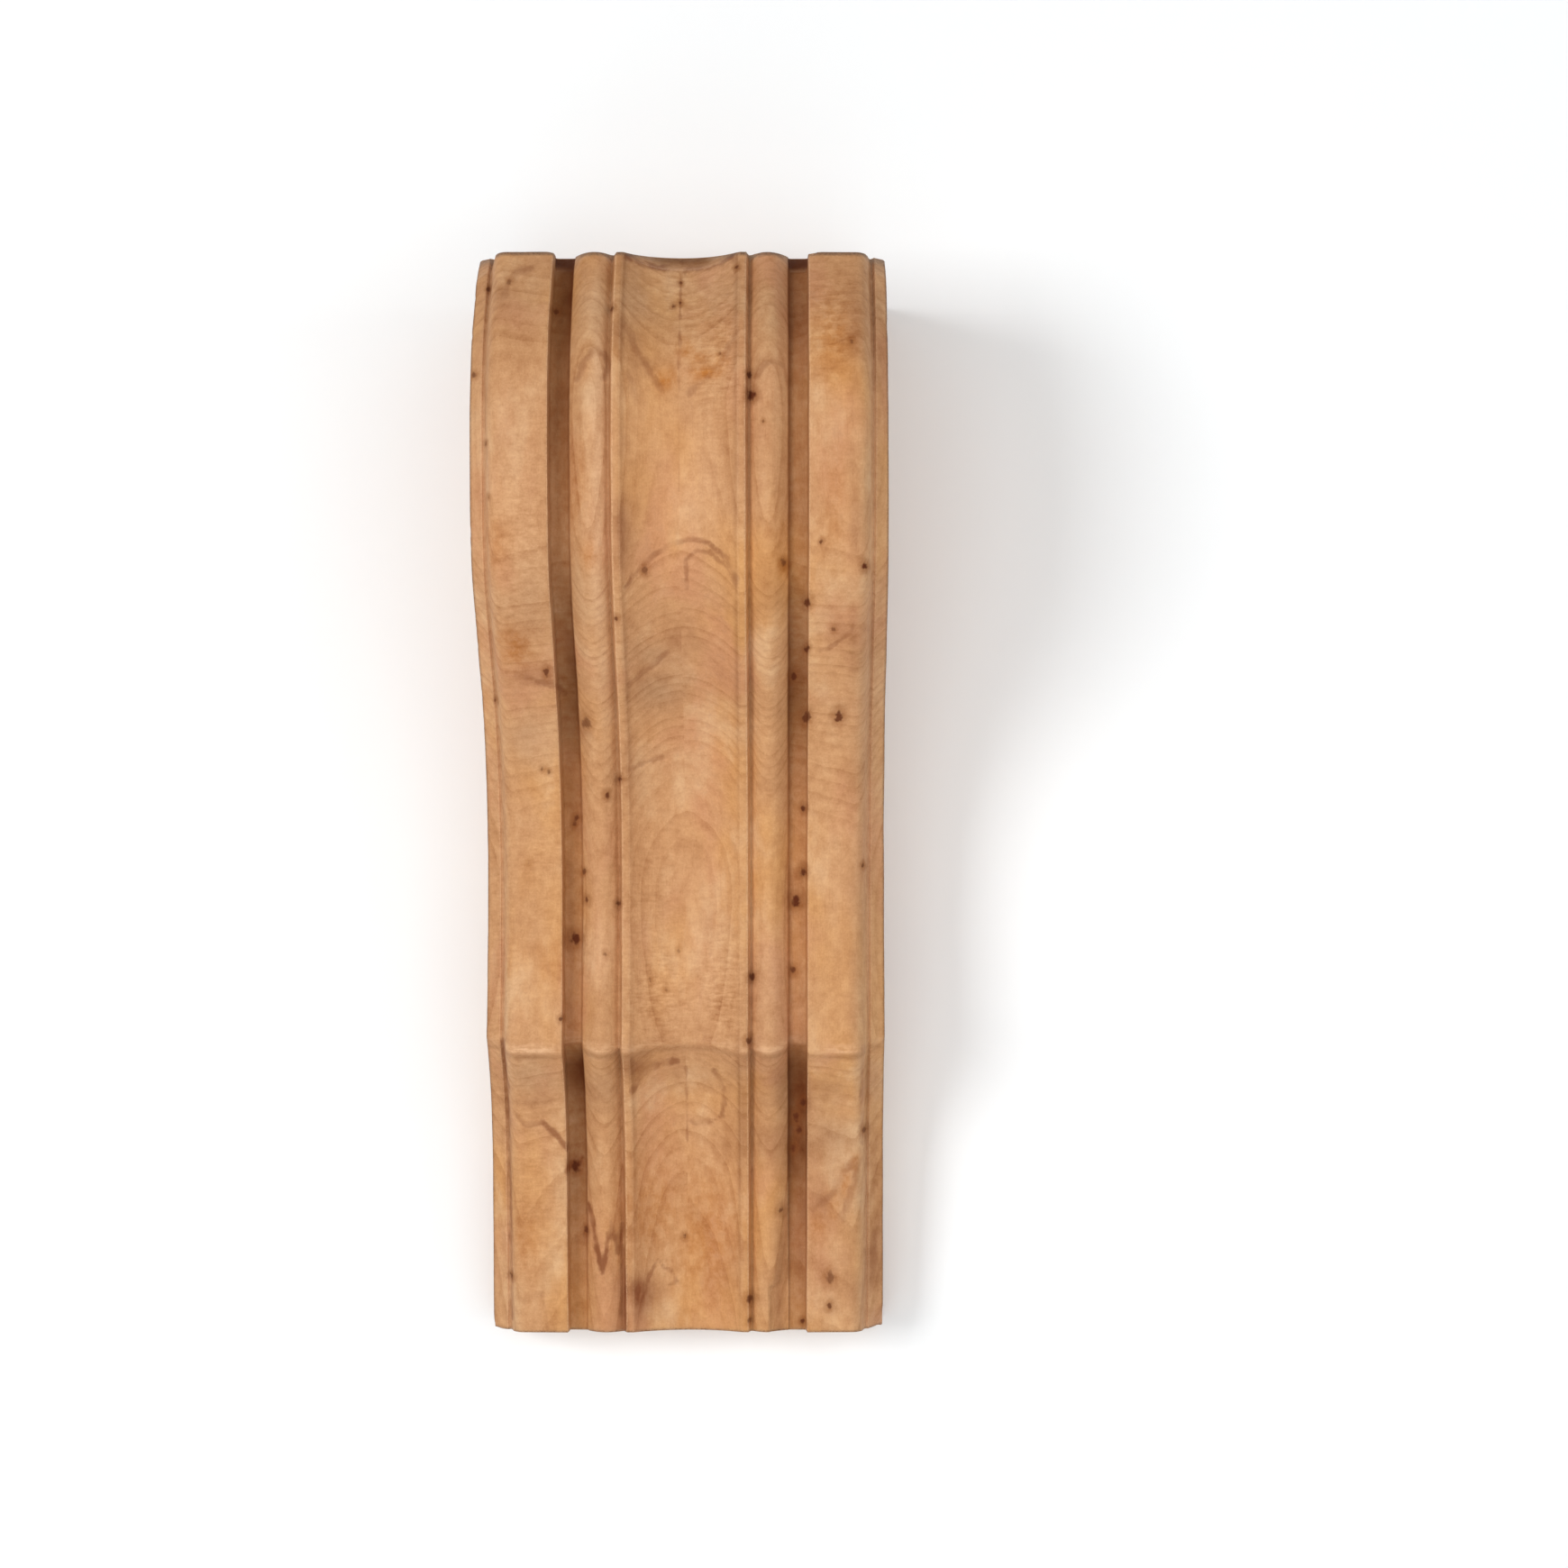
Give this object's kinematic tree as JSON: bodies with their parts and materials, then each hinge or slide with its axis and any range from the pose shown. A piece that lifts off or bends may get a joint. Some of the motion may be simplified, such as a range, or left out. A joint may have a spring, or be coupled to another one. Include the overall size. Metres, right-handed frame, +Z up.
{
  "type": "corbel",
  "caption": "Carved wooden corbel with an S-curved side profile, a fluted and beaded front, and a flat back that fixes to a wall under a shelf or mantel.",
  "frame": {"origin": "centre of the flat back, on the wall plane, half way up", "axes": "+X to the right seen from the front, +Y into the wall, +Z up; the carved front faces -Y"},
  "size_m": [0.127, 0.128, 0.3366],
  "materials": {
    "wood": "bare, sanded, unfinished pale reddish hardwood"
  },
  "bodies": {
    "root": {"corbel": "wood"}
  },
  "joints": []
}
